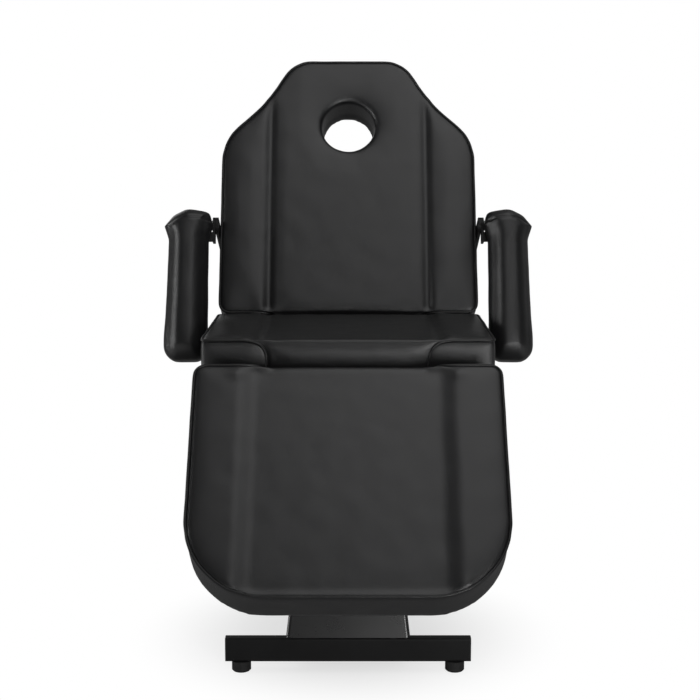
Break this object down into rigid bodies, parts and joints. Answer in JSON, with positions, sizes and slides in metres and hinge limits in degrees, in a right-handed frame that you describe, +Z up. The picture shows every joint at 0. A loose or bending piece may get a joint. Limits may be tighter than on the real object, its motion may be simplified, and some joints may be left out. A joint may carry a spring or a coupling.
{
  "type": "beauty chair",
  "caption": "Upholstered treatment chair with a reclining backrest with a face hole, a swinging legrest, hinged armrests and a tapered pedestal base.",
  "frame": {"origin": "on the floor below the middle of the chair's outline", "axes": "+Z up, the sitter faces -Y, +X to the right of someone facing the chair's front"},
  "size_m": [0.84, 1.1881, 1.2772],
  "materials": {
    "upholstery": "satin",
    "plywood": "matte",
    "black_steel": "satin",
    "zinc_steel": "satin",
    "rubber": "matte",
    "plastic": "matte"
  },
  "bodies": {
    "base": {"backrest_hinge_pins": "zinc_steel", "backrest_stay_bracket": "black_steel", "backrest_stay_pivot_pin": "zinc_steel", "foot_bar_end_caps": "plastic", "foot_screws": "zinc_steel", "front_foot_bar": "black_steel", "front_seat_cross_tube": "black_steel", "left_base_rail": "black_steel", "left_seat_rail": "black_steel", "legrest_hinge_pins": "zinc_steel", "legrest_stay_hangers": "black_steel", "legrest_stay_pivot_pins": "zinc_steel", "pedestal_bolts": "zinc_steel", "pedestal_shell": "black_steel", "pedestal_top_plate": "black_steel", "rear_foot_bar": "black_steel", "rear_seat_cross_tube": "black_steel", "right_base_rail": "black_steel", "right_seat_rail": "black_steel", "rubber_feet": "rubber", "seat_board": "plywood", "seat_cushion": "upholstery", "seat_front_hinge_plates": "black_steel", "seat_rear_hinge_plates": "black_steel"},
    "backrest": {"arm_pivot_bolts": "zinc_steel", "backrest_board": "plywood", "backrest_cushion": "upholstery", "backrest_hinge_plates": "black_steel", "backrest_stay_clevis": "black_steel", "backrest_stay_end_pin": "zinc_steel", "left_arm_bracket": "black_steel", "left_backrest_rail": "black_steel", "lower_backrest_cross_tube": "black_steel", "middle_backrest_cross_tube": "black_steel", "right_arm_bracket": "black_steel", "right_backrest_rail": "black_steel", "upper_backrest_cross_tube": "black_steel"},
    "legrest": {"left_legrest_rail": "black_steel", "legrest_board": "plywood", "legrest_cushion": "upholstery", "legrest_hinge_plates": "black_steel", "legrest_stay_brackets": "black_steel", "legrest_stay_end_pins": "zinc_steel", "lower_legrest_cross_tube": "black_steel", "right_legrest_rail": "black_steel", "upper_legrest_cross_tube": "black_steel"},
    "backrest_stay_outer": {"backrest_stay_channel": "black_steel"},
    "backrest_stay_inner": {"backrest_stay_bar": "zinc_steel"},
    "legrest_stay_outer": {"legrest_stay_channels": "black_steel"},
    "legrest_stay_inner": {"legrest_stay_bars": "zinc_steel"},
    "left_arm": {"left_arm_pad": "upholstery", "left_arm_board": "plywood", "left_arm_hinge_plate": "black_steel"},
    "right_arm": {"right_arm_pad": "upholstery", "right_arm_board": "plywood", "right_arm_hinge_plate": "black_steel"}
  },
  "joints": [
    {"name": "backrest_recline", "type": "hinge", "parent": "base", "child": "backrest", "pos_m": [0, 0.25, 0.667], "axis": [-1, 0, 0], "range_deg": [0, 65]},
    {"name": "legrest_raise", "type": "hinge", "parent": "base", "child": "legrest", "pos_m": [0, -0.197, 0.59], "axis": [-1, 0, 0], "range_deg": [0, 50]},
    {"name": "backrest_stay_swing", "type": "hinge", "parent": "base", "child": "backrest_stay_outer", "pos_m": [0, 0.24103, 0.36929], "axis": [-1, 0, 0], "range_deg": [-1, 33.5]},
    {"name": "backrest_stay_slide", "type": "slide", "parent": "backrest_stay_outer", "child": "backrest_stay_inner", "axis": [0, 0.4769, 0.879], "range_m": [-0.2304, 0.003]},
    {"name": "legrest_stay_swing", "type": "hinge", "parent": "base", "child": "legrest_stay_outer", "pos_m": [0, 0.085, 0.52], "axis": [-1, 0, 0], "range_deg": [-1, 26]},
    {"name": "legrest_stay_slide", "type": "slide", "parent": "legrest_stay_outer", "child": "legrest_stay_inner", "axis": [0, -0.9136, -0.4066], "range_m": [-0.003, 0.11101]},
    {"name": "left_arm_swing", "type": "hinge", "parent": "backrest", "child": "left_arm", "pos_m": [-0.315, 0.30702, 0.88867], "axis": [-1, 0, 0], "range_deg": [0, 135]},
    {"name": "right_arm_swing", "type": "hinge", "parent": "backrest", "child": "right_arm", "pos_m": [0.315, 0.30702, 0.88867], "axis": [-1, 0, 0], "range_deg": [0, 135]}
  ],
  "couplings": [
    {"joint": "backrest_stay_swing", "follows": "backrest_recline", "ratio": 0.5},
    {"joint": "backrest_stay_slide", "follows": "backrest_recline", "m_per_rad": -0.20044},
    {"joint": "legrest_stay_swing", "follows": "legrest_raise", "ratio": 0.5},
    {"joint": "legrest_stay_slide", "follows": "legrest_raise", "m_per_rad": 0.12378}
  ]
}
